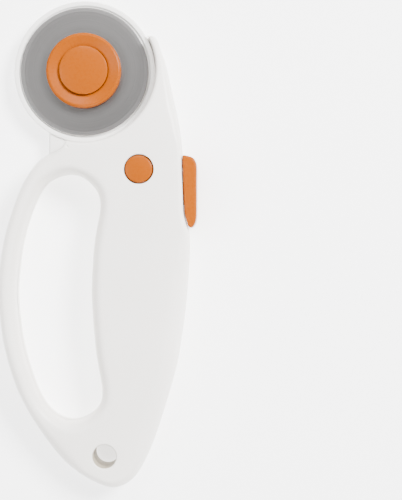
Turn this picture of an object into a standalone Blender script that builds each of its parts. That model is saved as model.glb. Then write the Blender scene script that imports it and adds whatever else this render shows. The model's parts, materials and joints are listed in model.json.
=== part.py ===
"""Rotary cutter with a loop handle, lying on its back.

The blade's axis is the Z axis, the head points along +Y, and the rear face rests on z = 0.
Lengths below are in millimetres; MM turns them into metres.
"""
import math

import bmesh
import bpy
from mathutils import Matrix, Vector

MM = 0.001

# Driving sizes
BLADE_DIAMETER = 45.0
BLADE_THICKNESS = 0.3
BLADE_HOLE_DIAMETER = 8.0
BLADE_GRIND = 1.3
HANDLE_THICKNESS = 17.0
TAIL_THICKNESS = 13.5
FIN_THICKNESS = 13.0
BAY_LENGTH = 34.1
GRIP_LENGTH = 86.9
WALL = 2.0
EDGE_ROUND = 2.6
SLIDE_TRAVEL = 7.0

# Clearances
FLAT_GAP = 0.1
LOOSE_GAP = 0.3
SIDE_GAP = 0.4
# Joined shapes step by this much where their flat faces would otherwise lie in one plane
STEP = 0.02
# How far a cutter reaches past the handle's sides
FAR = 80

# Head
GUARD_MARGIN = 2.4
GUARD_FLOOR = 1.6
GUARD_RIM_WIDTH = 1.6
GUARD_RIM_HEIGHT = 0.7
GUARD_TAB = (-12.9, -5.2)
GUARD_TAB_LENGTH = 8.6
EAR_RADIUS = 4.5
EAR_BRIDGE_HALF = 3.2
SKIRT_X = (-6.5, 16.2)
SKIRT_TOP = 9.9
NECK_X = -7.2
HIP_STATION = 1.47

# Carriage and axle
ARM_THICKNESS = 2.0
ARM_WIDTH = 8.0
BOSS_RADIUS = 6.0
PLATE_THICKNESS = 1.8
PLATE_X = (8.0, 31.0)
PLATE_LENGTH = 23.0
PLATE_FROM_GUARD = 9.1
PLATE_EAR_X = 15.6
PLATE_EAR_RISE = 3.5
FOOT_WIDTH = 6.5
AXLE_DIAMETER = 4.0
AXLE_STAND = 1.3
AXLE_COLLAR = 1.0
AXLE_SHOULDER = 0.2
AXLE_FLANGE = 0.6
AXLE_FLANGE_REACH = 1.4
AXLE_GROOVE = (0.5, 0.7)
NOTCH_X = (17.5, 24.5)
NOTCH_FROM_PLATE_END = 10.5
NOTCH_HALF = 1.2
NOTCH_DEPTH = 0.7
DETENT_X = (18.0, 24.0)
DETENT_STRIP = 0.4

# Hub
HUB_DIAMETER = 26.2
HUB_HEIGHT = 3.4
HUB_FLOOR = 0.9
HUB_BUTTON_DIAMETER = 17.0
HUB_BUTTON_TRAVEL = 0.8
HUB_BUTTON_WALL = 1.3
HUB_BUTTON_CROWN = 0.9
HUB_DISH = 1.1
HUB_SPRING_WIRE = 0.5
HUB_SPRING_TURNS = 2.0
WASHER_THICKNESS = 0.5
WASHER_DIAMETER = 14.0
FRICTION_WASHER = 0.2
FRICTION_WASHER_DIAMETER = 18.0
CLIP_WIRE = 0.6
CLIP_REACH = 2.2

# Lock button
LOCK_DIAMETER = 9.6
LOCK_STEM_DIAMETER = 4.0
LOCK_TRAVEL = 2.3
LOCK_PROUD = 1.0
LOCK_FLANGE = (1.1, 1.2)
LOCK_SPOT = (19.8, 10.0)
LOCK_WIRE = 0.8
LOCK_PEG_OFFSET = 9.1
LOCK_PEG_RADIUS = 1.9

# Thumb slider
SLIDER_FACE_X = 35.2
SLIDER_OUTER_X = 39.1
SLIDER_LENGTH = 25.6
SLIDER_FROM_GUARD = 4.3
SLIDER_WIDTH = 12.0
TONGUE_THICKNESS = 1.7
TONGUE_WIDTH = 8.0
TONGUE_ROOT_X = 24.0
TONGUE_CENTRE = 18.1
SLIDER_SCREW_X = 28.6

# Screws
SCREW_HEAD_DIAMETER = 4.6
SCREW_HEAD_HEIGHT = 1.4
SCREW_SHANK_DIAMETER = 2.4
SCREW_BOSS_RADIUS = 3.4
SCREW_BURIED = 0.8
SCREW_HEAD_DEPTH = 3.2
SMALL_HEAD_DIAMETER = 4.2
SMALL_HEAD_HEIGHT = 0.9
SMALL_SHANK_DIAMETER = 2.2
GUARD_SCREW_DEPTH = 1.15
SLIDER_SCREW_HEAD = 1.1

# Hanging hole
HANGING_HOLE_DIAMETER = 8.2
HANGING_HOLE_X = 7.6
HANGING_HOLE_FROM_TAIL = 11.4

# Heights, each piece on the one below it
BLADE_RADIUS = BLADE_DIAMETER / 2
GUARD_RADIUS = BLADE_RADIUS + GUARD_MARGIN
RECESS_RADIUS = GUARD_RADIUS + SIDE_GAP
PARTING = HANDLE_THICKNESS / 2
REAR_SPLIT = PARTING - FLAT_GAP / 2
FRONT_SPLIT = PARTING + FLAT_GAP / 2
ARM_BOTTOM = WALL + LOOSE_GAP
ARM_TOP = ARM_BOTTOM + ARM_THICKNESS
GUARD_BOTTOM = ARM_TOP + LOOSE_GAP
GUARD_TOP = GUARD_BOTTOM + GUARD_FLOOR
GUARD_RIM_TOP = GUARD_TOP + GUARD_RIM_HEIGHT
COLLAR_TOP = GUARD_TOP + LOOSE_GAP
WASHER_BOTTOM = COLLAR_TOP + FLAT_GAP
WASHER_TOP = WASHER_BOTTOM + WASHER_THICKNESS
BLADE_BOTTOM = max(WASHER_TOP + FLAT_GAP, GUARD_RIM_TOP + LOOSE_GAP)
BLADE_TOP = BLADE_BOTTOM + BLADE_THICKNESS
FRICTION_BOTTOM = BLADE_TOP + FLAT_GAP
HUB_BOTTOM = FRICTION_BOTTOM + FRICTION_WASHER + FLAT_GAP
HUB_POCKET = HUB_BOTTOM + HUB_FLOOR
HUB_RIM_TOP = HUB_BOTTOM + HUB_HEIGHT
AXLE_TOP = HUB_POCKET + AXLE_STAND
PLATE_TOP = REAR_SPLIT - FLAT_GAP
PLATE_BOTTOM = PLATE_TOP - PLATE_THICKNESS
TONGUE_BOTTOM = PARTING + LOOSE_GAP
TONGUE_TOP = TONGUE_BOTTOM + TONGUE_THICKNESS
ROOF = HANDLE_THICKNESS - WALL
SLIDER_TOP_Y = -GUARD_RADIUS - SLIDER_FROM_GUARD
LOCK_Y = -GUARD_RADIUS - LOCK_SPOT[1]
TONGUE_Y = -GUARD_RADIUS - TONGUE_CENTRE
TAIL_Y = -GUARD_RADIUS - BAY_LENGTH - GRIP_LENGTH
PLATE_Y = -GUARD_RADIUS - PLATE_FROM_GUARD
NOTCH_Y = PLATE_Y - PLATE_LENGTH + NOTCH_FROM_PLATE_END

# Outlines as (x, station). A station counts from 0 at the guard's lowest point to 1 at the end of the
# mechanism bay, and on to 2 at the tail.
SIDE_AND_TAIL = (
    (34.2, 0.023), (35.8, 0.455), (37.0, 0.927), (36.6, 1.131), (35.1, 1.325), (32.3, 1.519),
    (28.3, 1.681), (23.1, 1.852), (18.5, 1.95), (15.4, 1.982), (10.3, 2.0), (5.5, 1.986),
    (-2.8, 1.933), (-9.9, 1.852), (-17.5, 1.731), (-23.0, 1.609), (-27.3, 1.446), (-29.4, 1.284),
    (-29.4, 1.122), (-27.7, 1.0), (-24.5, 0.698), (-20.2, 0.39), (-14.9, 0.182),
)
FINGER_OPENING = (
    (-5.4, 0.331), (1.1, 0.396), (6.0, 0.598), (5.3, 0.803), (4.2, 1.003), (3.2, 1.122), (3.2, 1.244),
    (4.2, 1.414), (5.8, 1.54), (6.6, 1.621), (3.2, 1.694), (-4.2, 1.728), (-10.7, 1.703), (-16.0, 1.617),
    (-20.1, 1.488), (-22.9, 1.325), (-23.4, 1.218), (-22.7, 1.084), (-20.6, 0.906), (-16.7, 0.598),
    (-11.7, 0.39),
)
GRIP_CAVITY = (
    (9.3, 0.9), (7.1, 1.02), (6.1, 1.149), (6.0, 1.287), (7.3, 1.459), (9.7, 1.608), (17.7, 1.694),
    (24.6, 1.66), (29.0, 1.516), (31.9, 1.333), (32.8, 1.149), (31.6, 0.98), (30.6, 0.9),
)
# The fin beside the head, as (angle from +X in degrees, width outside the recess)
FIN = (
    (28.5, -0.3), (26.0, 1.5), (22.0, 2.6), (13.0, 2.8), (2.0, 3.8), (-6.0, 4.7), (-15.8, 7.0),
    (-24.0, 10.2), (-30.9, 13.6),
)

WHITE = (0.88, 0.86, 0.83)
ORANGE = (0.90, 0.31, 0.05)
GREY = (0.45, 0.45, 0.44)
STEEL = (0.55, 0.54, 0.53)
SPRING_STEEL = (0.42, 0.42, 0.43)

for item in list(bpy.data.objects):
    bpy.data.objects.remove(item, do_unlink=True)

PARTS = bpy.data.collections.new("rotary_cutter")
CUTTERS = bpy.data.collections.new("cutters")
bpy.context.scene.collection.children.link(PARTS)
bpy.context.scene.collection.children.link(CUTTERS)


def below(distance):
    """The y of a place that lies this far below the guard's lowest point."""
    return -GUARD_RADIUS - distance


def station_y(station):
    """The y of a station along the handle."""
    if station <= 1:
        return below(station * BAY_LENGTH)
    return below(BAY_LENGTH + (station - 1) * GRIP_LENGTH)


def stations(points):
    """Outline points from (x, station) pairs."""
    return [(x, station_y(station)) for x, station in points]


def material(name, colour, roughness, metallic):
    """A plain Principled material."""
    made = bpy.data.materials.new(name)
    made.use_nodes = True
    shader = made.node_tree.nodes["Principled BSDF"]
    shader.inputs["Base Color"].default_value = (*colour, 1)
    shader.inputs["Roughness"].default_value = roughness
    shader.inputs["Metallic"].default_value = metallic
    made.diffuse_color = (*colour, 1)
    return made


def keep(obj, colour, roughness=0.4, metallic=0.0):
    """File an object as a part and give it its own material."""
    for home in list(obj.users_collection):
        home.objects.unlink(obj)
    PARTS.objects.link(obj)
    obj.hide_render = False
    obj.display_type = "TEXTURED"
    obj.data.materials.clear()
    obj.data.materials.append(material(obj.name, colour, roughness, metallic))
    obj.data.shade_smooth()
    obj.data.set_sharp_from_angle(angle=math.radians(32))
    return obj


def blank(name, mesh):
    """A new object, filed as a cutter until it is kept as a part."""
    obj = bpy.data.objects.new(name, mesh)
    CUTTERS.objects.link(obj)
    obj.hide_render = True
    obj.display_type = "WIRE"
    return obj


def box(name, low, high):
    """A box between two corners."""
    mesh = bpy.data.meshes.new(name)
    body = bmesh.new()
    bmesh.ops.create_cube(body, size=1)
    size = [(b - a) * MM for a, b in zip(low, high)]
    middle = [(a + b) / 2 * MM for a, b in zip(low, high)]
    bmesh.ops.scale(body, vec=size, verts=body.verts)
    bmesh.ops.translate(body, vec=middle, verts=body.verts)
    body.to_mesh(mesh)
    body.free()
    return blank(name, mesh)


def column(name, centre, radius, low, high, sides=24):
    """A round column along Z."""
    mesh = bpy.data.meshes.new(name)
    body = bmesh.new()
    bmesh.ops.create_cone(
        body, cap_ends=True, segments=sides, radius1=radius * MM, radius2=radius * MM, depth=(high - low) * MM
    )
    bmesh.ops.translate(body, vec=(centre[0] * MM, centre[1] * MM, (low + high) / 2 * MM), verts=body.verts)
    body.to_mesh(mesh)
    body.free()
    return blank(name, mesh)


def solid_from_curve(name, curve, placing=Matrix()):
    """A closed mesh object from a curve."""
    holder = bpy.data.objects.new(name + "_curve", curve)
    CUTTERS.objects.link(holder)
    seen = holder.evaluated_get(bpy.context.evaluated_depsgraph_get())
    mesh = bpy.data.meshes.new_from_object(seen)
    bpy.data.objects.remove(holder, do_unlink=True)
    body = bmesh.new()
    body.from_mesh(mesh)
    bmesh.ops.remove_doubles(body, verts=body.verts, dist=0.00001)
    bmesh.ops.transform(body, matrix=placing, verts=body.verts)
    bmesh.ops.recalc_face_normals(body, faces=body.faces)
    body.to_mesh(mesh)
    body.free()
    return blank(name, mesh)


def flat_solid(name, outlines, low, high, smooth=True, rounding=0.0, rounding_steps=1):
    """A flat outline, with any holes in it, made solid between two heights."""
    curve = bpy.data.curves.new(name, "CURVE")
    curve.dimensions = "2D"
    curve.fill_mode = "BOTH"
    curve.resolution_u = 3
    curve.render_resolution_u = 0
    curve.extrude = ((high - low) / 2 - rounding) * MM
    curve.bevel_depth = rounding * MM
    curve.bevel_resolution = rounding_steps
    curve.offset = -rounding * MM
    for points in outlines:
        spline = curve.splines.new("BEZIER")
        spline.bezier_points.add(len(points) - 1)
        spline.use_cyclic_u = True
        for knot, point in zip(spline.bezier_points, points):
            knot.co = (point[0] * MM, point[1] * MM, 0)
            corner = not smooth or len(point) > 2
            knot.handle_left_type = "VECTOR" if corner else "AUTO"
            knot.handle_right_type = "VECTOR" if corner else "AUTO"
    return solid_from_curve(name, curve, Matrix.Translation((0, 0, (low + high) / 2 * MM)))


def side_solid(name, points, x_low, x_high):
    """An outline in the YZ plane made solid along X."""
    made = flat_solid(name, [points], x_low, x_high, smooth=False)
    turn = Matrix(((0, 0, 1, 0), (1, 0, 0, 0), (0, 1, 0, 0), (0, 0, 0, 1)))
    made.data.transform(turn)
    return made


def turned(name, profile, centre=(0, 0), steps=48):
    """A solid of revolution. The profile is (radius, height), down the outer side and up the inner one."""
    mesh = bpy.data.meshes.new(name)
    points = [Vector((radius * MM, 0, height * MM)) for radius, height in profile]
    edges = [(index, (index + 1) % len(points)) for index in range(len(points))]
    if profile[0][0] == 0:
        edges = edges[:-1]
    mesh.from_pydata(points, edges, [])
    obj = blank(name, mesh)
    screw = obj.modifiers.new("turn", "SCREW")
    screw.axis = "Z"
    screw.steps = steps
    screw.render_steps = steps
    screw.use_merge_vertices = True
    screw.merge_threshold = 0.00001
    seen = obj.evaluated_get(bpy.context.evaluated_depsgraph_get())
    solid = bpy.data.meshes.new_from_object(seen)
    bpy.data.objects.remove(obj, do_unlink=True)
    body = bmesh.new()
    body.from_mesh(solid)
    bmesh.ops.remove_doubles(body, verts=body.verts, dist=0.000001)
    bmesh.ops.recalc_face_normals(body, faces=body.faces)
    bmesh.ops.translate(body, vec=(centre[0] * MM, centre[1] * MM, 0), verts=body.verts)
    body.to_mesh(solid)
    body.free()
    return blank(name, solid)


def wire(name, points, diameter):
    """A round wire through the points."""
    curve = bpy.data.curves.new(name, "CURVE")
    curve.dimensions = "3D"
    curve.bevel_depth = diameter / 2 * MM
    curve.bevel_resolution = 2
    curve.use_fill_caps = True
    curve.render_resolution_u = 0
    spline = curve.splines.new("POLY")
    spline.points.add(len(points) - 1)
    for knot, point in zip(spline.points, points):
        knot.co = (*[value * MM for value in point], 1)
    return solid_from_curve(name, curve)


def boolean(target, tool, operation):
    """Cut, join or intersect two objects, and remove the tool."""
    change = target.modifiers.new(operation.lower(), "BOOLEAN")
    change.operation = operation
    change.solver = "EXACT"
    change.object = tool
    seen = target.evaluated_get(bpy.context.evaluated_depsgraph_get())
    mesh = bpy.data.meshes.new_from_object(seen)
    target.modifiers.clear()
    target.data = mesh
    bpy.data.objects.remove(tool, do_unlink=True)
    body = bmesh.new()
    body.from_mesh(mesh)
    bmesh.ops.dissolve_degenerate(body, edges=body.edges, dist=0.000002)
    body.to_mesh(mesh)
    body.free()


def cut(target, tool):
    boolean(target, tool, "DIFFERENCE")


def join(target, tool):
    boolean(target, tool, "UNION")


SCREW_SPOTS = (
    (GUARD_RADIUS + 1.1, below(-7.4)),
    (-15.6, station_y(0.335)),
    (28.0, station_y(1.08)),
    (17.5, station_y(1.619)),
    (-8.5, station_y(1.786)),
)
GUARD_SCREW = (sum(GUARD_TAB) / 2, below(6.0))


def handle_blank(name):
    """The whole handle's outer form with its finger opening, before it is split into shells."""
    fin = []
    for degrees, width in FIN:
        angle = math.radians(degrees)
        radius = RECESS_RADIUS + width
        fin.append((radius * math.cos(angle), radius * math.sin(angle)))
    inside_head = [
        (GUARD_TAB[0], below(4.0), "corner"),
        (NECK_X, below(2.0), "corner"),
        (NECK_X + 0.2, below(-5.0), "corner"),
        (8.0, 4.0, "corner"),
    ]
    outer = fin + stations(SIDE_AND_TAIL) + inside_head
    outline = [outer, stations(FINGER_OPENING)]
    return flat_solid(name, outline, STEP, HANDLE_THICKNESS, rounding=EDGE_ROUND, rounding_steps=1)


def taper(name, drop):
    """What lies over the front face, lowered by a drop: the face falls to the fin and to the tail."""
    high = HANDLE_THICKNESS + 20
    top = HANDLE_THICKNESS - drop
    shoulder = below(3.0)
    hip = station_y(HIP_STATION)
    points = [
        (RECESS_RADIUS, FIN_THICKNESS - drop),
        (shoulder, top),
        (hip, top),
        (TAIL_Y - 5, TAIL_THICKNESS - drop),
        (TAIL_Y - 5, high),
        (RECESS_RADIUS, high),
    ]
    return side_solid(name, points, -FAR, FAR)


def recess(low, high):
    return column("recess", (0, 0), RECESS_RADIUS, low, high, sides=64)


def slider_pocket():
    """The flat on the right edge that the thumb slider runs along."""
    low = SLIDER_TOP_Y - SLIDER_LENGTH - 0.7
    high = SLIDER_TOP_Y + SLIDE_TRAVEL + 1
    return box("slider_pocket", (SLIDER_FACE_X - LOOSE_GAP, low, -1), (FAR, high, HANDLE_THICKNESS + 1))


def hanging_hole():
    centre = (HANGING_HOLE_X, TAIL_Y + HANGING_HOLE_FROM_TAIL)
    return column("hanging_hole", centre, HANGING_HOLE_DIAMETER / 2, -1, HANDLE_THICKNESS + 1)


def bay_boxes(low, high):
    """The mechanism bay: one box for the plate's body and one for its ear, each with room to slide."""
    top = PLATE_Y + SLIDE_TRAVEL + SIDE_GAP
    ear_top = top + PLATE_EAR_RISE
    bottom = PLATE_Y - PLATE_LENGTH - 0.5
    left = PLATE_X[0] - SIDE_GAP
    right = PLATE_X[1] + SIDE_GAP
    return [
        box("bay", (left, bottom, low), (right, top, high)),
        box("bay_ear", (PLATE_EAR_X - SIDE_GAP, bottom, low), (right, ear_top, high)),
    ]


def hollow_out(shell, low, high):
    """Cut the bay and the grip's cavity between two heights."""
    for tool in bay_boxes(low, high):
        cut(shell, tool)
    cavity = flat_solid("grip_cavity", [stations(GRIP_CAVITY)], low, high)
    cut(cavity, taper("cavity_taper", WALL))
    cut(shell, cavity)


def guard_ear_pocket(low, high, extra):
    """The form of the ear that ties the guard to the first case screw, grown by a gap."""
    spot = SCREW_SPOTS[0]
    angle = math.atan2(spot[1], spot[0])
    ear = column("ear", spot, EAR_RADIUS + extra, low, high)
    reach = math.hypot(*spot)
    root = GUARD_RADIUS - 4
    middle = (root + reach) / 2
    long = (reach - root) / 2
    wide = EAR_BRIDGE_HALF + extra
    bridge = box("bridge", (-long, -wide, low), (long, wide, high))
    bridge.data.transform(Matrix.Rotation(angle, 4, "Z"))
    centre = Vector((middle * math.cos(angle), middle * math.sin(angle), 0))
    bridge.data.transform(Matrix.Translation(centre * MM))
    join(ear, bridge)
    return ear


def make_rear_shell():
    shell = handle_blank("handle_rear_shell")
    cut(shell, box("front_half", (-FAR, TAIL_Y - 20, REAR_SPLIT), (FAR, FAR, HANDLE_THICKNESS + 1)))
    cut(shell, recess(WALL, HANDLE_THICKNESS + 1))
    join(shell, column("head_plate", (0, 0), GUARD_RADIUS - LOOSE_GAP, 0, WALL - STEP, sides=64))
    neck = box("neck_plate", (GUARD_TAB[0], below(5.2), STEP / 2), (6, below(-8), WALL - STEP / 2))
    join(shell, neck)
    hollow_out(shell, WALL, HANDLE_THICKNESS)
    tab_bottom = below(GUARD_TAB_LENGTH) - LOOSE_GAP
    cut(shell, box("tab_pocket", (GUARD_TAB[0] - 0.2, tab_bottom, WALL), (0, below(-10), HANDLE_THICKNESS)))
    foot_bottom = PLATE_Y + 0.5 - SIDE_GAP
    foot_right = PLATE_EAR_X + 0.4 + SIDE_GAP
    cut(shell, box("arm_channel", (-ARM_WIDTH / 2 - SIDE_GAP, foot_bottom, WALL),
                   (foot_right, below(-8), HANDLE_THICKNESS)))
    cut(shell, guard_ear_pocket(GUARD_BOTTOM - LOOSE_GAP, HANDLE_THICKNESS, LOOSE_GAP))
    cut(shell, slider_pocket())
    for spot in SCREW_SPOTS[2:4]:
        join(shell, column("boss", spot, SCREW_BOSS_RADIUS, WALL / 2, REAR_SPLIT))
    head = SCREW_HEAD_DIAMETER / 2 + SIDE_GAP
    shank = SCREW_SHANK_DIAMETER / 2 + LOOSE_GAP
    for spot in SCREW_SPOTS:
        cut(shell, column("head_bore", spot, head, -1, SCREW_HEAD_DEPTH))
        cut(shell, column("shank_bore", spot, shank, 1, HANDLE_THICKNESS, sides=12))
    head = SMALL_HEAD_DIAMETER / 2 + LOOSE_GAP
    shank = SMALL_SHANK_DIAMETER / 2 + LOOSE_GAP
    cut(shell, column("guard_head_bore", GUARD_SCREW, head, -1, GUARD_SCREW_DEPTH))
    cut(shell, column("guard_shank_bore", GUARD_SCREW, shank, 0.5, HANDLE_THICKNESS, sides=12))
    cut(shell, hanging_hole())
    keep(shell, WHITE)


def skirt():
    """The short wall under the front shell that closes it towards the guard, before the recess is cut."""
    high = FRONT_SPLIT + WALL / 4
    wall = column("skirt", (0, 0), RECESS_RADIUS + WALL, GUARD_TOP + SIDE_GAP, high, sides=64)
    cut(wall, box("left_side", (-FAR, -FAR, 0), (SKIRT_X[0], FAR, HANDLE_THICKNESS)))
    cut(wall, box("right_side", (SKIRT_X[1], -FAR, 0), (FAR, FAR, HANDLE_THICKNESS)))
    cut(wall, box("upper_side", (-FAR, below(-SKIRT_TOP), 0), (FAR, FAR, HANDLE_THICKNESS)))
    return wall


def make_front_shell():
    shell = handle_blank("handle_front_shell")
    cut(shell, box("rear_half", (-FAR, TAIL_Y - 20, -1), (FAR, FAR, FRONT_SPLIT)))
    cut(shell, taper("front_taper", 0))
    join(shell, skirt())
    cut(shell, recess(-1, HANDLE_THICKNESS + 1))
    hollow_out(shell, 0, ROOF)
    for spot in SCREW_SPOTS[2:4]:
        join(shell, column("boss", spot, SCREW_BOSS_RADIUS, FRONT_SPLIT, ROOF + WALL / 4))
    peg_y = LOCK_Y - LOCK_PEG_OFFSET
    peg_spot = (LOCK_SPOT[0], peg_y)
    join(shell, column("lock_peg", peg_spot, LOCK_PEG_RADIUS, PLATE_TOP + 0.5, ROOF + WALL / 2, sides=20))
    cut(shell, slider_pocket())
    half = TONGUE_WIDTH / 2 + LOOSE_GAP
    cut(shell, box("tongue_slot", (PLATE_X[1] - 1, TONGUE_Y - half, 0),
                   (FAR, TONGUE_Y + half + SLIDE_TRAVEL, TONGUE_TOP + LOOSE_GAP)))
    bore = SCREW_SHANK_DIAMETER / 2 + LOOSE_GAP
    for spot in SCREW_SPOTS:
        cut(shell, column("pilot", spot, bore, 0, screw_top() + LOOSE_GAP, sides=12))
    lock_spot = (LOCK_SPOT[0], LOCK_Y)
    cut(shell, column("lock_hole", lock_spot, LOCK_DIAMETER / 2 + LOOSE_GAP, ROOF - 1, HANDLE_THICKNESS + 1))
    cut(shell, hanging_hole())
    keep(shell, WHITE)


def screw_top():
    """How far a case screw reaches, under the lower of the two ends of the front face."""
    return min(TAIL_THICKNESS, FIN_THICKNESS) - SCREW_BURIED


def pan_screw(name, spot, low, head_diameter, head_height, shank_diameter, top):
    """A pan-head screw that points up, with its head at the bottom."""
    head = head_diameter / 2
    shank = shank_diameter / 2
    profile = [
        (0, top), (shank * 0.5, top), (shank, top - shank * 0.6), (shank, low + head_height),
        (head, low + head_height), (head, low + head_height * 0.4), (head * 0.7, low), (0, low),
    ]
    keep(turned(name, profile, spot, steps=12), STEEL, 0.3, 1.0)


def make_case_screws():
    low = SCREW_HEAD_DEPTH - FLAT_GAP - SCREW_HEAD_HEIGHT
    for number, spot in enumerate(SCREW_SPOTS, 1):
        pan_screw("handle_screw_%d" % number, spot, low, SCREW_HEAD_DIAMETER,
                  SCREW_HEAD_HEIGHT, SCREW_SHANK_DIAMETER, screw_top())
    low = GUARD_SCREW_DEPTH - FLAT_GAP - SMALL_HEAD_HEIGHT
    pan_screw("guard_screw", GUARD_SCREW, low, SMALL_HEAD_DIAMETER,
              SMALL_HEAD_HEIGHT, SMALL_SHANK_DIAMETER, GUARD_TOP - 0.9)


def make_guard():
    """The white head disc: a floor with a rim, a skirt where it shows, a slot, a neck tab and an ear."""
    inner = GUARD_RADIUS - GUARD_RIM_WIDTH
    profile = [
        (0, GUARD_TOP), (inner, GUARD_TOP), (inner, GUARD_RIM_TOP), (GUARD_RADIUS - 0.3, GUARD_RIM_TOP),
        (GUARD_RADIUS, GUARD_RIM_TOP - 0.3), (GUARD_RADIUS, ARM_BOTTOM), (inner, ARM_BOTTOM),
        (inner, GUARD_BOTTOM), (0, GUARD_BOTTOM),
    ]
    guard = turned("blade_guard", profile, steps=64)
    cut(guard, box("skirt_opening", (GUARD_TAB[1], -40, 0), (40, -4, GUARD_BOTTOM)))
    tab_low = (GUARD_TAB[0], below(GUARD_TAB_LENGTH), ARM_BOTTOM)
    join(guard, box("tab", tab_low, (GUARD_TAB[1], -inner * 0.7, GUARD_TOP - STEP)))
    join(guard, guard_ear_pocket(GUARD_BOTTOM + STEP / 2, GUARD_TOP - STEP / 2, 0))
    spot = SCREW_SPOTS[0]
    join(guard, column("ear_block", spot, EAR_RADIUS - 0.4, GUARD_BOTTOM + 0.3, FRONT_SPLIT - LOOSE_GAP))
    bore = SCREW_SHANK_DIAMETER / 2 + LOOSE_GAP
    cut(guard, column("ear_hole", spot, bore, 0, HANDLE_THICKNESS, sides=12))
    bore = SMALL_SHANK_DIAMETER / 2 + LOOSE_GAP
    cut(guard, column("tab_hole", GUARD_SCREW, bore, 0, GUARD_TOP - 0.6, sides=12))
    half = collar_radius() + SIDE_GAP
    cut(guard, column("slot_start", (0, 0), half, 0, HANDLE_THICKNESS))
    cut(guard, column("slot_end", (0, SLIDE_TRAVEL), half, 0, HANDLE_THICKNESS))
    cut(guard, box("slot", (-half, 0, 0), (half, SLIDE_TRAVEL, HANDLE_THICKNESS)))
    keep(guard, WHITE)


def collar_radius():
    return AXLE_DIAMETER / 2 + AXLE_COLLAR


def make_carriage():
    """The slide: an arm under the guard, a foot, a riser and the plate in the bay."""
    half = ARM_WIDTH / 2
    foot_top = PLATE_Y + FOOT_WIDTH + 0.5
    foot_bottom = PLATE_Y + 0.5
    carriage = column("slide_carriage", (0, 0), BOSS_RADIUS, ARM_BOTTOM, ARM_TOP)
    join(carriage, box("arm", (-half, foot_bottom, ARM_BOTTOM + STEP / 2), (half, 0, ARM_TOP - STEP / 2)))
    foot_low = (-half + STEP / 2, foot_bottom, ARM_BOTTOM + STEP)
    join(carriage, box("foot", foot_low, (PLATE_EAR_X + 0.4, foot_top, ARM_TOP - STEP)))
    left = PLATE_X[0]
    right = PLATE_EAR_X + 0.3
    riser_low = (left, PLATE_Y - 2.0, ARM_BOTTOM + STEP * 1.5)
    join(carriage, box("riser", riser_low, (right, PLATE_Y, PLATE_TOP - STEP / 2)))
    riser_foot_low = (left + 0.1, PLATE_Y - 1.0, ARM_BOTTOM + STEP * 2)
    join(carriage, box("riser_foot", riser_foot_low, (right - 0.1, PLATE_Y + 1.5, ARM_TOP - STEP * 1.5)))
    plate_bottom = PLATE_Y - PLATE_LENGTH
    ear_top = PLATE_Y + PLATE_EAR_RISE
    outline = [
        (PLATE_X[0], PLATE_Y, "c"), (PLATE_EAR_X, PLATE_Y, "c"), (PLATE_EAR_X, ear_top, "c"),
        (PLATE_X[1], ear_top, "c"), (PLATE_X[1], plate_bottom, "c"), (PLATE_X[0], plate_bottom, "c"),
    ]
    join(carriage, flat_solid("plate", [outline], PLATE_BOTTOM, PLATE_TOP))
    axle = AXLE_DIAMETER / 2
    bore = axle + AXLE_SHOULDER + LOOSE_GAP
    cut(carriage, column("axle_bore", (0, 0), bore, 0, HANDLE_THICKNESS))
    bore = axle + AXLE_FLANGE_REACH + LOOSE_GAP
    cut(carriage, column("flange_bore", (0, 0), bore, 0, ARM_BOTTOM + AXLE_FLANGE + LOOSE_GAP))
    bore = LOCK_STEM_DIAMETER / 2 + SIDE_GAP
    for step in (0, SLIDE_TRAVEL):
        cut(carriage, column("lock_bore", (LOCK_SPOT[0], LOCK_Y - step), bore, 0, HANDLE_THICKNESS))
        low = (NOTCH_X[0], NOTCH_Y - step - NOTCH_HALF, 0)
        high = (NOTCH_X[1], NOTCH_Y - step + NOTCH_HALF, PLATE_BOTTOM + NOTCH_DEPTH)
        cut(carriage, box("notch", low, high))
    bore = SMALL_SHANK_DIAMETER / 2 + LOOSE_GAP
    cut(carriage, column("slider_pilot", (SLIDER_SCREW_X, TONGUE_Y), bore, 0, HANDLE_THICKNESS, sides=12))
    keep(carriage, GREY)


def make_slider():
    """The thumb piece on the right edge, with the tongue that reaches into the bay."""
    top = SLIDER_TOP_Y
    low = top - SLIDER_LENGTH
    outline = [
        (SLIDER_FACE_X, top, "c"), (SLIDER_OUTER_X - 1.7, top - 0.4), (SLIDER_OUTER_X - 0.5, top - 1.2),
        (SLIDER_OUTER_X, top - 3.0), (SLIDER_OUTER_X, low + 4.0), (SLIDER_OUTER_X - 0.5, low + 1.6),
        (SLIDER_OUTER_X - 1.5, low + 0.4), (SLIDER_FACE_X + 0.6, low + 1.6), (SLIDER_FACE_X, low + 4.0),
    ]
    half = SLIDER_WIDTH / 2
    thumb = flat_solid("thumb_slider", [outline], PARTING - half, PARTING + half)
    tongue = box("tongue", (TONGUE_ROOT_X, TONGUE_Y - TONGUE_WIDTH / 2, TONGUE_BOTTOM),
                 (SLIDER_FACE_X + 1, TONGUE_Y + TONGUE_WIDTH / 2, TONGUE_TOP))
    join(thumb, tongue)
    spot = (SLIDER_SCREW_X, TONGUE_Y)
    bore = SMALL_SHANK_DIAMETER / 2 + LOOSE_GAP
    cut(thumb, column("slider_bore", spot, bore, 0, TONGUE_TOP + 1, sides=12))
    keep(thumb, ORANGE)
    head = SMALL_HEAD_DIAMETER / 2
    shank = SMALL_SHANK_DIAMETER / 2
    base = TONGUE_TOP + FLAT_GAP
    profile = [
        (0, base + SLIDER_SCREW_HEAD), (head * 0.7, base + SLIDER_SCREW_HEAD),
        (head, base + SLIDER_SCREW_HEAD / 2), (head, base), (shank, base),
        (shank, PLATE_BOTTOM + 0.8), (shank * 0.5, PLATE_BOTTOM + 0.3), (0, PLATE_BOTTOM + 0.3),
    ]
    keep(turned("slider_screw", profile, spot, steps=12), STEEL, 0.3, 1.0)


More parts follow.
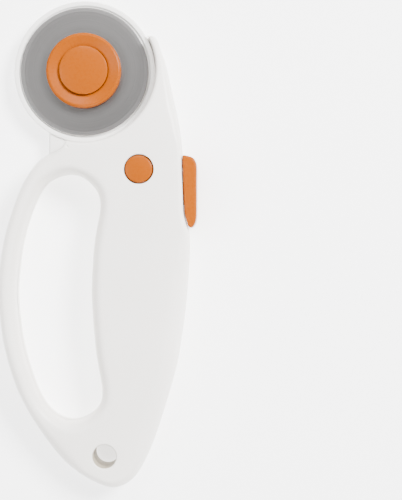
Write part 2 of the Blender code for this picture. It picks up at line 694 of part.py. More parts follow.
def make_detent_spring():
    """A leaf spring on the bay's floor, whose crest lies under the carriage's notches."""
    crest = PLATE_BOTTOM - LOOSE_GAP
    floor = WALL + FLAT_GAP
    line = [
        (NOTCH_Y - 9, floor), (NOTCH_Y - 6, floor), (NOTCH_Y - 1.5, crest - 1.0),
        (NOTCH_Y, crest - DETENT_STRIP), (NOTCH_Y + 1.5, crest - 1.0),
        (NOTCH_Y + 6, floor + 0.6), (NOTCH_Y + 9, floor + 0.3),
    ]
    upper = [(y, z + DETENT_STRIP) for y, z in line]
    keep(side_solid("detent_spring", line + upper[::-1], *DETENT_X), SPRING_STEEL, 0.3, 1.0)


def make_axle_and_washers():
    axle = AXLE_DIAMETER / 2
    collar = collar_radius()
    flange = axle + AXLE_FLANGE_REACH
    shoulder = axle + AXLE_SHOULDER
    waist = axle - AXLE_GROOVE[0]
    groove = HUB_POCKET + FLAT_GAP
    groove_top = groove + AXLE_GROOVE[1]
    foot = ARM_BOTTOM + FLAT_GAP
    step = ARM_TOP + FLAT_GAP
    profile = [
        (0, AXLE_TOP), (axle - 0.4, AXLE_TOP), (axle, AXLE_TOP - 0.4), (axle, groove_top),
        (waist, groove_top), (waist, groove), (axle, groove), (axle, COLLAR_TOP), (collar, COLLAR_TOP),
        (collar, step), (shoulder, step), (shoulder, foot + AXLE_FLANGE), (flange, foot + AXLE_FLANGE),
        (flange, foot), (0, foot),
    ]
    keep(turned("blade_axle", profile, steps=20), STEEL, 0.3, 1.0)
    bore = axle + LOOSE_GAP
    rim = WASHER_DIAMETER / 2
    washer = [(bore, WASHER_TOP), (rim, WASHER_TOP), (rim, WASHER_BOTTOM), (bore, WASHER_BOTTOM)]
    keep(turned("axle_washer", washer, steps=28), STEEL, 0.3, 1.0)
    hole = BLADE_HOLE_DIAMETER / 2
    edge = (BLADE_TOP + BLADE_BOTTOM) / 2
    grind = BLADE_RADIUS - BLADE_GRIND
    blade = [
        (hole, BLADE_TOP), (grind, BLADE_TOP), (BLADE_RADIUS, edge + STEP),
        (BLADE_RADIUS, edge - STEP), (grind, BLADE_BOTTOM), (hole, BLADE_BOTTOM),
    ]
    keep(turned("blade", blade, steps=64), STEEL, 0.28, 1.0)
    rim = FRICTION_WASHER_DIAMETER / 2
    top = FRICTION_BOTTOM + FRICTION_WASHER
    friction = [(hole, top), (rim, top), (rim, FRICTION_BOTTOM), (hole, FRICTION_BOTTOM)]
    keep(turned("friction_washer", friction, steps=28), SPRING_STEEL, 0.3, 1.0)


def make_hub():
    outer = HUB_DIAMETER / 2
    well = HUB_BUTTON_DIAMETER / 2 + LOOSE_GAP
    spigot = BLADE_HOLE_DIAMETER / 2 - LOOSE_GAP
    bore = AXLE_DIAMETER / 2 + LOOSE_GAP
    dish = HUB_RIM_TOP - HUB_DISH
    profile = [
        (well, dish), (well + 0.5, dish + 0.05), (outer - 2.4, dish + 0.4), (outer - 1.3, HUB_RIM_TOP),
        (outer - 0.6, HUB_RIM_TOP - 0.05), (outer - 0.15, HUB_RIM_TOP - 0.6), (outer, HUB_BOTTOM + 1.5),
        (outer - 0.2, HUB_BOTTOM + 0.5), (outer - 0.8, HUB_BOTTOM), (spigot, HUB_BOTTOM),
        (spigot, BLADE_BOTTOM), (bore, BLADE_BOTTOM), (bore, HUB_POCKET), (well, HUB_POCKET),
    ]
    keep(turned("hub_body", profile, steps=40), ORANGE)
    rim = HUB_BUTTON_DIAMETER / 2
    crown = HUB_RIM_TOP + HUB_BUTTON_CROWN
    inner = rim - HUB_BUTTON_WALL
    skirt = HUB_POCKET + HUB_BUTTON_TRAVEL + LOOSE_GAP
    ceiling = AXLE_TOP + HUB_BUTTON_TRAVEL + LOOSE_GAP
    cap = [
        (0, crown), (rim * 0.45, crown - 0.1), (rim * 0.8, crown - 0.38), (rim - 0.3, crown - 0.75),
        (rim, crown - 1.05), (rim, skirt), (inner, skirt), (inner, ceiling), (0, ceiling),
    ]
    keep(turned("hub_button", cap, steps=32), ORANGE)
    make_hub_clip()
    make_hub_spring(ceiling)


def make_hub_clip():
    """A U of spring wire whose legs lie on both sides of the axle's groove."""
    level = HUB_POCKET + FLAT_GAP + CLIP_WIRE / 2
    leg = AXLE_DIAMETER / 2 + LOOSE_GAP + CLIP_WIRE / 2
    points = [(-leg, -CLIP_REACH, level), (-leg, 0, level)]
    for step in range(9):
        angle = math.pi * (1 - step / 8)
        points.append((leg * math.cos(angle), CLIP_REACH * 0.6 + leg * math.sin(angle) * 0.8, level))
    points += [(leg, 0, level), (leg, -CLIP_REACH, level)]
    keep(wire("hub_clip", points, CLIP_WIRE), SPRING_STEEL, 0.3, 1.0)


def make_hub_spring(ceiling):
    """A coil spring between the hub's floor and the button's ceiling."""
    half = HUB_SPRING_WIRE / 2
    low = HUB_POCKET + FLAT_GAP + half
    high = ceiling - FLAT_GAP - half
    mean = HUB_BUTTON_DIAMETER / 2 - HUB_BUTTON_WALL - LOOSE_GAP - half
    steps = 24
    points = []
    for step in range(steps + 1):
        share = step / steps
        angle = 2 * math.pi * HUB_SPRING_TURNS * share
        points.append((mean * math.cos(angle), mean * math.sin(angle), low + (high - low) * share))
    keep(wire("hub_button_spring", points, HUB_SPRING_WIRE), SPRING_STEEL, 0.3, 1.0)


def make_lock():
    cap = LOCK_DIAMETER / 2
    stem = LOCK_STEM_DIAMETER / 2
    top = HANDLE_THICKNESS + LOCK_PROUD
    flange_top = ROOF - LOOSE_GAP
    tip = PLATE_BOTTOM + LOCK_TRAVEL
    flange = cap + LOCK_FLANGE[0]
    flange_bottom = flange_top - LOCK_FLANGE[1]
    profile = [
        (0, top), (cap * 0.5, top - 0.12), (cap * 0.85, top - 0.45), (cap, top - 1.0), (cap, flange_top),
        (flange, flange_top), (flange, flange_bottom), (stem, flange_bottom), (stem, tip + 0.4),
        (stem - 0.4, tip), (0, tip),
    ]
    keep(turned("lock_button", profile, (LOCK_SPOT[0], LOCK_Y), steps=24), ORANGE)
    level = tip + 0.4 + LOCK_WIRE
    leg = stem + LOOSE_GAP + LOCK_WIRE / 2
    x = LOCK_SPOT[0]
    peg_y = LOCK_Y - LOCK_PEG_OFFSET
    points = [(x - leg, LOCK_Y + 2.5, level), (x - leg, LOCK_Y - 2, level)]
    for step in range(9):
        angle = math.pi * (1 + step / 8)
        points.append((x + leg * math.cos(angle), peg_y + leg * math.sin(angle), level))
    points += [(x + leg, LOCK_Y - 2, level), (x + leg, LOCK_Y + 2.5, level)]
    keep(wire("lock_spring", points, LOCK_WIRE), SPRING_STEEL, 0.3, 1.0)


make_rear_shell()
make_front_shell()
make_case_screws()
make_guard()
make_carriage()
make_slider()
make_detent_spring()
make_axle_and_washers()
make_hub()
make_lock()
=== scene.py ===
"""The looks of the rotary cutter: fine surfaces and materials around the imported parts."""

import json
import math

import bmesh
import bpy
import numpy as np
from mathutils import Matrix, Vector
from mathutils.geometry import delaunay_2d_cdt


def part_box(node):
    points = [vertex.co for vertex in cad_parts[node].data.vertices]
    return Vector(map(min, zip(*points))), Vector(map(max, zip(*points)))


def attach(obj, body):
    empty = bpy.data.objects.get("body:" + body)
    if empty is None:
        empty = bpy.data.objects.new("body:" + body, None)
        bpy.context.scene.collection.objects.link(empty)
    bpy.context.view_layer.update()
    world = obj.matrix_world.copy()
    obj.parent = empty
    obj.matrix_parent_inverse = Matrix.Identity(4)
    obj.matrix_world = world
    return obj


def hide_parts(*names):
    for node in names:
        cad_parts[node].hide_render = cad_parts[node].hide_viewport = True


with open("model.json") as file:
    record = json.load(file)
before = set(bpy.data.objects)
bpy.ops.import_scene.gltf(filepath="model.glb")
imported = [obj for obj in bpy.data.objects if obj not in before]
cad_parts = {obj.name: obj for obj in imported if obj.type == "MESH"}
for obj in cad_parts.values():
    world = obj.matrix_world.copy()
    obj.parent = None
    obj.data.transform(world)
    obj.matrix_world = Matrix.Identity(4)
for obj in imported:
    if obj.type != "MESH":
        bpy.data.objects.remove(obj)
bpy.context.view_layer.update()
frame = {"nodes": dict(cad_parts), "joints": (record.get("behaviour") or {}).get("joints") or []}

MM = 0.001
NODES = frame["nodes"]


def span(node):
    """A node's lowest and highest corners in millimetres."""
    low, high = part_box(node)
    return low / MM, high / MM


def centre(node):
    """The middle of a node in plan, in millimetres."""
    low, high = span(node)
    return ((low.x + high.x) / 2, (low.y + high.y) / 2)


# ---------------------------------------------------------------- sizes from the frame, in millimetres
REAR_LOW, REAR_HIGH = span("handle_rear_shell")
FRONT_LOW, FRONT_HIGH = span("handle_front_shell")
GUARD_LOW = span("blade_guard")[0]
BLADE_LOW, BLADE_HIGH = span("blade")
HUB_LOW, HUB_HIGH = span("hub_body")
CAP_LOW, CAP_HIGH = span("hub_button")
LOCK_LOW, LOCK_HIGH = span("lock_button")
THUMB_LOW, THUMB_HIGH = span("thumb_slider")
TRAVEL = next(j for j in frame["joints"] if j["name"] == "carriage_slide")["range_m"][1] / MM

BLADE_RADIUS = BLADE_HIGH.x
GUARD_RADIUS = -GUARD_LOW.x
RECESS_RADIUS = GUARD_RADIUS + 0.4
PLATE_RADIUS = GUARD_RADIUS - 0.3
REAR_SPLIT = REAR_HIGH.z
FRONT_SPLIT = FRONT_LOW.z
FACE = FRONT_HIGH.z
FLOOR_LEVEL = 0.0
HUB_RADIUS = HUB_HIGH.x
CAP_RADIUS = CAP_HIGH.x
LOCK_SPOT = centre("lock_button")
LOCK_RADIUS = 4.8
HOLE_SPOT = (7.6, REAR_LOW.y + 11.4)
HOLE_RADIUS = 4.1
WALL = 2.0
GAP = 0.3

# The guard: its floor's top and thickness, its neck tab, and half the width of the axle's slot
GUARD_FLOOR = 6.2
GUARD_THICKNESS = 1.6
TAB_LEFT, TAB_RIGHT, TAB_BOTTOM = -12.9, -5.2, -33.5
SLOT_HALF = 3.4

# The bay that the carriage slides in, and the part of it for the carriage's ear
BAY_LEFT, BAY_EAR_LEFT, BAY_RIGHT = 7.6, 15.2, 31.4
BAY_BOTTOM, BAY_TOP = -57.5, -30.1 + TRAVEL
BAY_EAR_RISE = 3.5

# The arm channel in the rear shell, and the front shell's corner at the neck
CHANNEL_LEFT, CHANNEL_RIGHT = -4.4, 16.4
CHANNEL_BOTTOM, CHANNEL_TOP = -33.9, -16.9
NECK_CORNER = ((-6.5, -27.2), (-6.3, -24.6))

# The skirt: the short wall that closes the front shell towards the guard
SKIRT_LEFT, SKIRT_RIGHT, SKIRT_TOP = -6.2, 16.2, -15.0
SKIRT_BOTTOM = 6.6

# The thumb slider: its tongue, the top of the slot that the tongue runs in, and the thumb piece's rolled edge
TONGUE_LOW, TONGUE_HIGH, TONGUE_THICKNESS = -47.0, -39.0, 1.7
TONGUE_SLOT_TOP = 10.9
THUMB_ROUND = 0.8

# Screws: the radii of the bores for shanks and heads, the depths of the head bores, and the heads' heights
SCREWS = ["handle_screw_%d" % number for number in range(1, 6)]
SCREW_TIP = span("handle_screw_1")[1].z
CASE_BORE, SMALL_BORE = 1.5, 1.4
CASE_HEAD_BORE, CASE_HEAD_DEPTH = 2.7, 3.2
SMALL_HEAD_BORE, SMALL_HEAD_DEPTH = 2.4, 1.15
CASE_HEAD, GUARD_SCREW_HEAD, SLIDER_SCREW_HEAD = 1.4, 0.9, 1.1

# The spacing of an outline's points, the number of rings in a rolled edge, and the bevel at the split
SPACING = 0.6
RINGS = 8
SEAM = 0.12

# Cutters that run out past the part end at these places, sideways and above
FAR = 60.0
ABOVE = 20.0


# ---------------------------------------------------------------- outlines
FIN_TIP = 28.2
FIN_AND_SIDE = [
    (24.0, 12.1), (24.9, 11.4), (25.8, 10.3), (26.6, 8.2), (27.4, 6.0), (28.7, 2.0), (29.8, -3.0),
    (31.1, -8.8), (32.4, -14.6), (33.4, -20.0), (34.1, -25.6), (34.3, -30.0), (34.4, -34.0),
    (34.6, -39.0), (34.8, -44.0), (34.95, -48.0), (35.25, -51.0), (35.95, -53.7), (36.75, -56.5),
    (37.0, -61.0), (36.85, -66.5), (36.4, -74.0), (35.6, -83.0), (34.2, -93.5), (32.3, -104.2),
    (30.0, -112.4), (27.1, -122.0), (23.1, -133.0), (20.4, -138.5), (17.2, -142.9), (13.6, -145.2),
    (9.9, -145.9), (5.5, -144.7), (-0.4, -141.7), (-5.4, -138.1), (-11.5, -131.4), (-17.5, -122.7),
    (-23.0, -112.1), (-26.6, -101.2), (-28.8, -90.0), (-29.6, -78.7), (-29.1, -67.0), (-27.5, -58.0),
    (-24.9, -49.2), (-21.5, -40.6), (-18.1, -34.9), (-15.6, -31.9), (-12.6, -29.6),
]
OPENING = [
    (-5.4, -36.2), (-0.8, -37.2), (3.0, -39.9), (5.5, -43.6), (6.1, -47.6), (5.6, -51.6), (4.3, -58.5),
    (3.4, -68.0), (3.1, -78.0), (3.7, -89.0), (4.7, -99.0), (6.0, -106.7), (6.7, -112.1), (5.8, -116.5),
    (3.0, -119.8), (-0.8, -122.0), (-5.2, -122.5), (-9.5, -121.1), (-13.8, -117.1), (-17.1, -111.0),
    (-19.8, -103.4), (-21.8, -95.8), (-23.2, -86.2), (-23.8, -78.0), (-23.2, -69.0), (-21.9, -60.0),
    (-19.4, -51.0), (-16.7, -44.4), (-13.2, -39.2), (-9.5, -37.1),
]


def cubic(points, spacing, closed=False):
    """A smooth curve through the points, sampled at even spacing."""
    knots = np.array(points, float)
    if closed:
        knots = np.vstack([knots, knots[:1]])
    step = np.linalg.norm(np.diff(knots, axis=0), axis=1)
    count = len(knots)
    system = np.zeros((count, count))
    right = np.zeros((count, 2))
    for i in range(1, count - 1):
        system[i, i - 1:i + 2] = step[i - 1], 2 * (step[i - 1] + step[i]), step[i]
        right[i] = 6 * ((knots[i + 1] - knots[i]) / step[i] - (knots[i] - knots[i - 1]) / step[i - 1])
    if closed:
        system[0, :2] = 2 * (step[0] + step[-1]), step[0]
        system[0, -2] = step[-1]
        right[0] = 6 * ((knots[1] - knots[0]) / step[0] - (knots[0] - knots[-2]) / step[-1])
        system[-1, 0], system[-1, -1] = 1, -1
    else:
        system[0, 0] = system[-1, -1] = 1
    bend = np.linalg.solve(system, right)
    fine = []
    for i in range(count - 1):
        share = np.linspace(0, 1, 24, endpoint=False)[:, None]
        first, last = knots[i], knots[i + 1]
        rest = 1 - share
        curve = rest * first + share * last
        curve = curve + step[i] ** 2 / 6 * ((rest ** 3 - rest) * bend[i] + (share ** 3 - share) * bend[i + 1])
        fine.append(curve)
    fine.append(knots[-1:])
    return resample(np.vstack(fine), spacing)


def resample(line, spacing):
    """The same open line with evenly spaced points, both ends kept."""
    run = np.concatenate([[0], np.cumsum(np.linalg.norm(np.diff(line, axis=0), axis=1))])
    count = max(2, int(round(run[-1] / spacing)) + 1)
    even = np.linspace(0, run[-1], count)
    return np.column_stack([np.interp(even, run, line[:, axis]) for axis in (0, 1)])


def arc(radius, start, end, spacing=SPACING, spot=(0, 0)):
    """Points along an arc, angles in degrees."""
    count = max(3, int(abs(math.radians(end - start)) * radius / spacing))
    angles = np.radians(np.linspace(start, end, count))
    return np.column_stack([spot[0] + radius * np.cos(angles), spot[1] + radius * np.sin(angles)])


def circle(radius, spot, spacing=SPACING):
    return arc(radius, 0, 360, spacing, spot)[:-1]


def join_lines(*lines):
    """One closed line from open ones, without doubled points."""
    points = np.vstack(lines)
    keep = np.linalg.norm(points - np.roll(points, 1, axis=0), axis=1) > 0.12
    return points[keep]


def soften(points, spots, reach, rounds):
    """Round a closed line near some places by averaging each point with its neighbours."""
    points = points.copy()
    weight = np.zeros(len(points))
    for spot in spots:
        away = np.linalg.norm(points - np.array(spot), axis=1)
        weight = np.maximum(weight, np.clip(1.5 - away / reach, 0, 1))
    for _ in range(rounds):
        middle = (np.roll(points, 1, axis=0) + np.roll(points, -1, axis=0)) / 2
        points += (middle - points) * weight[:, None] * 0.5
    return points


def smoothstep(value, low, high):
    share = np.clip((value - low) / (high - low), 0, 1)
    return share * share * (3 - 2 * share)


def moving(values, half, reduce):
    stack = np.stack([np.roll(values, shift) for shift in range(-half, half + 1)])
    return reduce(stack, axis=0)


# ---------------------------------------------------------------- meshes
def inward_normals(points, solid_outside):
    """Unit normals of a closed line that point into the material."""
    along = np.roll(points, -1, axis=0) - np.roll(points, 1, axis=0)
    along /= np.linalg.norm(along, axis=1)[:, None]
    normal = np.column_stack([-along[:, 1], along[:, 0]])
    nxt = np.roll(points, -1, axis=0)
    area = np.sum(points[:, 0] * nxt[:, 1] - nxt[:, 0] * points[:, 1])
    if (area < 0) != solid_outside:
        normal = -normal
    return normal


def room(points, normals, everything, limit):
    """How far each point can move inwards before another part of the outline is nearer."""
    steps = np.linspace(0.15, limit, 30)
    best = np.zeros(len(points))
    alive = np.ones(len(points), bool)
    for step in steps:
        moved = points + normals * step
        gap = np.sqrt(((moved[:, None, :] - everything[None, :, :]) ** 2).sum(2)).min(1)
        alive &= gap > step - 0.05 - step * 0.02
        best[alive] = step
    return best


def odd_inside(spots, loops):
    """Whether each spot lies inside the even-odd area of the loops."""
    inside = np.zeros(len(spots), bool)
    x, y = spots[:, 0], spots[:, 1]
    for loop in loops:
        nxt = np.roll(loop, -1, axis=0)
        for (x0, y0), (x1, y1) in zip(loop, nxt):
            crosses = (y0 > y) != (y1 > y)
            if crosses.any():
                where = (x1 - x0) * (y - y0) / (y1 - y0 + 1e-12) + x0
                inside ^= crosses & (x < where)
    return inside


def fill(loops, grid):
    """Triangles over the area between loops: returns points and faces, the loops' points first."""
    rim = np.vstack(loops)
    points = [Vector(p) for p in rim]
    edges = []
    base = 0
    for loop in loops:
        count = len(loop)
        edges += [(base + i, base + (i + 1) % count) for i in range(count)]
        base += count
    extra = np.zeros((0, 2))
    if grid:
        low, high = rim.min(0), rim.max(0)
        rows = np.arange(low[1], high[1], grid * 0.87)
        columns = np.arange(low[0], high[0], grid)
        spots = np.array([(x + (row % 2) * grid / 2, y) for row, y in enumerate(rows) for x in columns])
        spots = spots[odd_inside(spots, loops)]
        gap = np.sqrt(((spots[:, None, :] - rim[None, :, :]) ** 2).sum(2)).min(1)
        extra = spots[gap > grid * 0.55]
        points += [Vector(p) for p in extra]
    made, _, faces, origin, _, _ = delaunay_2d_cdt(points, edges, [], 0, 1e-7)
    index = {new: old[0] for new, old in enumerate(origin) if old}
    triangles = [[index[v] for v in face] for face in faces if all(v in index for v in face)]
    everything = np.vstack([rim, extra])
    middles = np.array([everything[t].mean(0) for t in triangles])
    inside = odd_inside(middles, loops)
    return everything, [t for t, ok in zip(triangles, inside) if ok]


def mesh_object(name, vertices, faces, sharp=30.0):
    """A mesh object in metres from points in millimetres, with its faces turned outwards."""
    mesh = bpy.data.meshes.new(name)
    mesh.from_pydata([Vector(v) * MM for v in vertices], [], faces)
    body = bmesh.new()
    body.from_mesh(mesh)
    bmesh.ops.remove_doubles(body, verts=body.verts, dist=0.0000005)
    bmesh.ops.recalc_face_normals(body, faces=body.faces)
    body.to_mesh(mesh)
    body.free()
    obj = bpy.data.objects.new(name, mesh)
    bpy.context.scene.collection.objects.link(obj)
    shade(obj, sharp)
    return obj


def shade(obj, sharp=30.0):
    obj.data.shade_smooth()
    obj.data.set_sharp_from_angle(angle=math.radians(sharp))


def pillow(name, loops, split, top, up, grid=2.0, seam=SEAM):
    """A moulded shell half as a solid: walls that rise from the split line and roll over into the face.

    Each loop is (points, solid_outside, width, drop): the roll's width and height, one for each point.
    """
    everything = np.vstack([loop[0] for loop in loops])
    vertices = []
    faces = []
    first, last = [], []
    for points, solid_outside, width, drop in loops:
        normals = inward_normals(points, solid_outside)
        free = room(points, normals, everything, max(width.max(), 0.5))
        width = np.minimum(width, free * 0.93)
        width = moving(moving(width, 3, np.min), 3, np.mean)
        rings = [(points, np.full(len(points), split + up * seam))]
        if seam:
            rings.insert(0, (points + normals * seam, np.full(len(points), split)))
        for step in range(RINGS + 1):
            angle = math.pi / 2 * step / RINGS
            moved = points + normals * (width * (1 - math.cos(angle)))[:, None]
            face = top(moved[:, 0], moved[:, 1])
            fall = np.minimum(drop, np.abs(face - split) - seam - 0.1)
            rings.append((moved, face - up * fall * (1 - math.sin(angle))))
        base = len(vertices)
        count = len(points)
        for flat, height in rings:
            vertices += [(x, y, z) for (x, y), z in zip(flat, height)]
        for ring in range(len(rings) - 1):
            for i in range(count):
                j = (i + 1) % count
                a = base + ring * count
                b = a + count
                faces.append((a + i, a + j, b + j, b + i))
        first.append((base, rings[0][0]))
        last.append((base + (len(rings) - 1) * count, rings[-1][0]))
    for ends, lid in ((first, False), (last, True)):
        flat, triangles = fill([ring for _, ring in ends], grid if lid else 0)
        lookup = [start + i for start, ring in ends for i in range(len(ring))]
        extra = flat[len(lookup):]
        if len(extra):
            lookup += list(range(len(vertices), len(vertices) + len(extra)))
            height = top(extra[:, 0], extra[:, 1])
            vertices += [(x, y, z) for (x, y), z in zip(extra, height)]
        faces += [tuple(lookup[i] for i in triangle) for triangle in triangles]
    return mesh_object(name, vertices, faces)


def rounded(profile, steps=5):
    """A profile's points with its corners rounded: each is (radius, height) or (radius, height, round)."""
    made = []
    count = len(profile)
    for i, point in enumerate(profile):
        here = np.array(point[:2], float)
        size = point[2] if len(point) > 2 else 0
        if not size or i in (0, count - 1):
            made.append(tuple(here))
            continue
        before = np.array(profile[i - 1][:2], float) - here
        after = np.array(profile[i + 1][:2], float) - here
        reach_before, reach_after = np.linalg.norm(before), np.linalg.norm(after)
        before, after = before / reach_before, after / reach_after
        half = math.acos(np.clip(before @ after, -1, 1)) / 2
        cut = min(size / math.tan(half), reach_before * 0.48, reach_after * 0.48)
        radius = cut * math.tan(half)
        middle = here + (before + after) / np.linalg.norm(before + after) * radius / math.sin(half)
        start, end = here + before * cut - middle, here + after * cut - middle
        turn = math.atan2(start[0] * end[1] - start[1] * end[0], start @ end)
        for k in range(steps + 1):
            angle = turn * k / steps
            spun = (start[0] * math.cos(angle) - start[1] * math.sin(angle),
                    start[0] * math.sin(angle) + start[1] * math.cos(angle))
            made.append((middle[0] + spun[0], middle[1] + spun[1]))
    return made


def lathe(name, profile, spot=(0, 0), segments=144, ring=False, sharp=30.0):
    """A turned solid. A ring's profile closes on itself; any other starts and ends on the axis."""
    points = rounded(profile)
    vertices = []
    rows = []
    for radius, height in points:
        if radius < 1e-6:
            rows.append([len(vertices)])
            vertices.append((spot[0], spot[1], height))
            continue
        rows.append(list(range(len(vertices), len(vertices) + segments)))
        for s in range(segments):
            angle = 2 * math.pi * s / segments
            x = spot[0] + radius * math.cos(angle)
            y = spot[1] + radius * math.sin(angle)
            vertices.append((x, y, height))
    faces = []
    pairs = list(zip(rows, rows[1:]))
    if ring:
        pairs.append((rows[-1], rows[0]))
    for upper, lower in pairs:
        for s in range(segments):
            t = (s + 1) % segments
            if len(upper) == 1:
                faces.append((upper[0], lower[s], lower[t]))
            elif len(lower) == 1:
                faces.append((upper[s], upper[t], lower[0]))
            else:
                faces.append((upper[s], upper[t], lower[t], lower[s]))
    return mesh_object(name, vertices, faces, sharp)


def box(name, low, high):
    """A box between two corners in millimetres."""
    corners = [(x, y, z) for z in (low[2], high[2]) for y in (low[1], high[1]) for x in (low[0], high[0])]
    faces = [(0, 1, 3, 2), (4, 6, 7, 5), (0, 4, 5, 1), (2, 3, 7, 6), (0, 2, 6, 4), (1, 5, 7, 3)]
    return mesh_object(name, corners, faces)


def column(name, spot, radius, low, high, segments=96):
    return lathe(name, [(0, high), (radius, high), (radius, low), (0, low)], spot, segments)


def bore(node, radius, low, high):
    """A cutter for the bore that a screw's shank runs in."""
    return column("bore", centre(node), radius, low, high, 48)


def carve(target, tools, operation="DIFFERENCE"):
    """Cut the tools out of the target, or join them to it, and remove them."""
    for tool in tools:
        change = target.modifiers.new("carve", "BOOLEAN")
        change.operation = operation
        change.solver = "EXACT"
        change.object = tool
        seen = target.evaluated_get(bpy.context.evaluated_depsgraph_get())
        mesh = bpy.data.meshes.new_from_object(seen)
        target.modifiers.clear()
        target.data = mesh
        bpy.data.objects.remove(tool, do_unlink=True)
    shade(target)


def placed(piece, body, slot, material, *nodes):
    """Ride a piece on a body in its material, and hide the nodes that it stands for; the slot is not used."""
    piece.data.materials.clear()
    piece.data.materials.append(material)
    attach(piece, body)
    if nodes:
        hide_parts(*nodes)
    return piece


# ---------------------------------------------------------------- materials
def principled(name, **values):
    made = bpy.data.materials.new(name)
    made.use_nodes = True
    shader = made.node_tree.nodes["Principled BSDF"]
    for key, value in values.items():
        shader.inputs[key.replace("_", " ")].default_value = value
    return made, made.node_tree, shader


def colour(red, green, blue):
    return (red, green, blue, 1.0)


def noise(tree, scale, detail=2.0, roughness=0.5):
    """Noise over the object's own coordinates; the scale is in cycles per metre."""
    coordinates = tree.nodes.new("ShaderNodeTexCoord")
    texture = tree.nodes.new("ShaderNodeTexNoise")
    texture.inputs["Scale"].default_value = scale
    texture.inputs["Detail"].default_value = detail
    texture.inputs["Roughness"].default_value = roughness
    tree.links.new(coordinates.outputs["Object"], texture.inputs["Vector"])
    return texture


def ramp(tree, source, low, high, start=0.3, end=0.7):
    made = tree.nodes.new("ShaderNodeValToRGB")
    made.color_ramp.elements[0].position = start
    made.color_ramp.elements[1].position = end
    made.color_ramp.elements[0].color = low
    made.color_ramp.elements[1].color = high
    tree.links.new(source, made.inputs["Fac"])
    return made.outputs["Color"]


def bump(tree, shader, height, strength, distance):
    made = tree.nodes.new("ShaderNodeBump")
    made.inputs["Strength"].default_value = strength
    made.inputs["Distance"].default_value = distance
    tree.links.new(height, made.inputs["Height"])
    tree.links.new(made.outputs["Normal"], shader.inputs["Normal"])


def moulded(name, light, dark, roughness, coat=0.0, level=0.5):
    """Moulded plastic: a faint drift of colour, a fine skin, and gloss that varies a little."""
    made, tree, shader = principled(name, Roughness=roughness, IOR=1.5)
    shader.inputs["Coat Weight"].default_value = coat
    shader.inputs["Coat Roughness"].default_value = 0.12
    shader.inputs["Specular IOR Level"].default_value = level
    drift = noise(tree, 60.0, 3.0)
    tree.links.new(ramp(tree, drift.outputs["Fac"], dark, light), shader.inputs["Base Color"])
    gloss = noise(tree, 900.0, 4.0, 0.6)
    low = colour(*[roughness * 0.88] * 3)
    high = colour(*[min(roughness * 1.12, 1)] * 3)
    tree.links.new(ramp(tree, gloss.outputs["Fac"], low, high), shader.inputs["Roughness"])
    skin = noise(tree, 5200.0, 3.0, 0.7)
    bump(tree, shader, skin.outputs["Fac"], 0.12, 0.00002)
    return made


def ground_steel(name, tone, roughness, turned_rings=True):
    """Steel with the fine rings or scratches that grinding leaves."""
    made, tree, shader = principled(name, Metallic=1.0, Roughness=roughness)
    coordinates = tree.nodes.new("ShaderNodeTexCoord")
    apart = tree.nodes.new("ShaderNodeSeparateXYZ")
    tree.links.new(coordinates.outputs["Object"], apart.inputs["Vector"])
    lengths = []
    for axis in ("X", "Y"):
        square = tree.nodes.new("ShaderNodeMath")
        square.operation = "MULTIPLY"
        tree.links.new(apart.outputs[axis], square.inputs[0])
        tree.links.new(apart.outputs[axis], square.inputs[1])
        lengths.append(square.outputs[0])
    total = tree.nodes.new("ShaderNodeMath")
    total.operation = "ADD"
    tree.links.new(lengths[0], total.inputs[0])
    tree.links.new(lengths[1], total.inputs[1])
    radius = tree.nodes.new("ShaderNodeMath")
    radius.operation = "SQRT"
    tree.links.new(total.outputs[0], radius.inputs[0])
    along = tree.nodes.new("ShaderNodeCombineXYZ")
    tree.links.new(radius.outputs[0], along.inputs["X"])
    rings = tree.nodes.new("ShaderNodeTexNoise")
    rings.inputs["Scale"].default_value = 2600.0
    rings.inputs["Detail"].default_value = 3.0
    source = along.outputs["Vector"] if turned_rings else coordinates.outputs["Object"]
    tree.links.new(source, rings.inputs["Vector"])
    low = colour(*[tone[i] * 0.93 for i in range(3)])
    high = colour(*[tone[i] * 1.06 for i in range(3)])
    tree.links.new(ramp(tree, rings.outputs["Fac"], low, high), shader.inputs["Base Color"])
    rough_low = colour(*[roughness * 0.85] * 3)
    rough_high = colour(*[roughness * 1.2] * 3)
    tree.links.new(ramp(tree, rings.outputs["Fac"], rough_low, rough_high), shader.inputs["Roughness"])
    bump(tree, shader, rings.outputs["Fac"], 0.10, 0.00001)
    return made


WHITE = moulded("white_moulding", colour(0.93, 0.895, 0.85), colour(0.91, 0.875, 0.825), 0.38)
# Painted shade: the hanging hole's wall gets a darker, warmer white for the shadow inside the bore
HOLE_PAINTED_SHADE = moulded("hole_wall_painted_shade", colour(0.45, 0.39, 0.29), colour(0.43, 0.37, 0.27), 0.45)
GUARD_WHITE = moulded("guard_moulding", colour(0.94, 0.92, 0.89), colour(0.92, 0.90, 0.865), 0.30)
ORANGE = moulded("orange_moulding", colour(0.285, 0.063, 0.0007), colour(0.27, 0.059, 0.0007), 0.28, 0.0, 0.1)
GREY = moulded("grey_moulding", colour(0.36, 0.36, 0.35), colour(0.33, 0.33, 0.32), 0.5)
BLADE_STEEL = ground_steel("blade_steel", (0.225, 0.218, 0.214), 0.34)
EDGE_STEEL = ground_steel("edge_steel", (0.225, 0.218, 0.214), 0.4)
BRIGHT_STEEL = ground_steel("bright_steel", (0.56, 0.55, 0.54), 0.26, False)
SPRING_STEEL = ground_steel("spring_steel", (0.38, 0.38, 0.385), 0.3, False)


# ---------------------------------------------------------------- handle
def front_top(x, y):
    """The height of the front face: level in the middle, lower to the fin, the tail and the loop."""
    height = np.full(np.shape(x), FACE)
    height = height - 3.6 * smoothstep(y, -30.0, 16.0)
    height = height - 3.4 * smoothstep(-y, 96.0, 150.0)
    height = height - 1.3 * smoothstep(-x, -8.0, 16.0)
    height = height - 0.9 * (np.clip(np.asarray(x) - 19.0, 0, None) / 17.0) ** 2
    return height


def rear_top(x, y):
    return np.full(np.shape(x), FLOOR_LEVEL)


